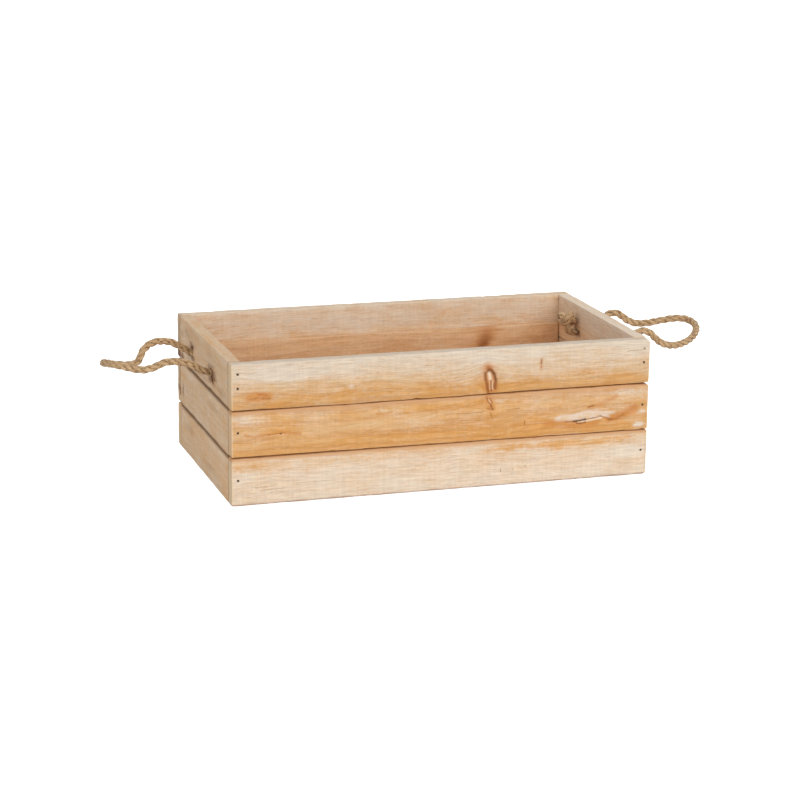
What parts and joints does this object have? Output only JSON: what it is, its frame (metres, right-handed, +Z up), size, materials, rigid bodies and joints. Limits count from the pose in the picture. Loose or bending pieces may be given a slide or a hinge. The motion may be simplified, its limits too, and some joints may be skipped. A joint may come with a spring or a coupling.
{
  "type": "wooden crate with rope handles",
  "caption": "Open rectangular slatted wooden crate with butt-jointed corners, a slatted floor, thin inner linings and a knotted rope loop handle at each end.",
  "frame": {"origin": "middle of the crate's underside, on the surface that it stands on, the rope handles left out", "axes": "+X along the crate's length towards its right end, +Y towards its back, +Z up"},
  "size_m": [0.598, 0.218, 0.1306],
  "materials": {
    "washed_pine": "pine with a thin white wash rubbed off along the grain",
    "bare_pine": "bare planed pine",
    "nail_steel": "dull dark steel",
    "jute_rope": "rough twisted jute"
  },
  "bodies": {
    "crate": {"front_bottom_slat": "washed_pine", "front_middle_slat": "washed_pine", "front_top_slat": "washed_pine", "back_bottom_slat": "washed_pine", "back_middle_slat": "washed_pine", "back_top_slat": "washed_pine", "left_end_bottom_board": "washed_pine", "left_end_middle_board": "washed_pine", "left_end_top_board": "washed_pine", "right_end_bottom_board": "washed_pine", "right_end_middle_board": "washed_pine", "right_end_top_board": "washed_pine", "front_lining": "bare_pine", "back_lining": "bare_pine", "floor_slat_1": "bare_pine", "floor_slat_2": "bare_pine", "floor_slat_3": "bare_pine", "floor_slat_4": "bare_pine", "left_floor_cleat": "bare_pine", "right_floor_cleat": "bare_pine", "nail_front_left_1": "nail_steel", "nail_front_left_2": "nail_steel", "nail_front_left_3": "nail_steel", "nail_front_left_4": "nail_steel", "nail_front_right_1": "nail_steel", "nail_front_right_2": "nail_steel", "nail_front_right_3": "nail_steel", "nail_front_right_4": "nail_steel", "nail_back_left_1": "nail_steel", "nail_back_left_2": "nail_steel", "nail_back_left_3": "nail_steel", "nail_back_left_4": "nail_steel", "nail_back_right_1": "nail_steel", "nail_back_right_2": "nail_steel", "nail_back_right_3": "nail_steel", "nail_back_right_4": "nail_steel", "floor_nail_left_1": "nail_steel", "floor_nail_left_2": "nail_steel", "floor_nail_left_3": "nail_steel", "floor_nail_left_4": "nail_steel", "floor_nail_right_1": "nail_steel", "floor_nail_right_2": "nail_steel", "floor_nail_right_3": "nail_steel", "floor_nail_right_4": "nail_steel", "left_rope_front_end": "jute_rope", "left_rope_back_end": "jute_rope", "right_rope_front_end": "jute_rope", "right_rope_back_end": "jute_rope"},
    "left_handle": {"left_rope_loop": "jute_rope"},
    "right_handle": {"right_rope_loop": "jute_rope"}
  },
  "joints": [
    {"name": "left_handle_swing", "type": "hinge", "parent": "crate", "child": "left_handle", "pos_m": [-0.2145, 0.008, 0.1115], "axis": [0, 1, 0], "range_deg": [-85, 90]},
    {"name": "right_handle_swing", "type": "hinge", "parent": "crate", "child": "right_handle", "pos_m": [0.2133, 0.008, 0.1111], "axis": [0, -1, 0], "range_deg": [-85, 90]}
  ]
}
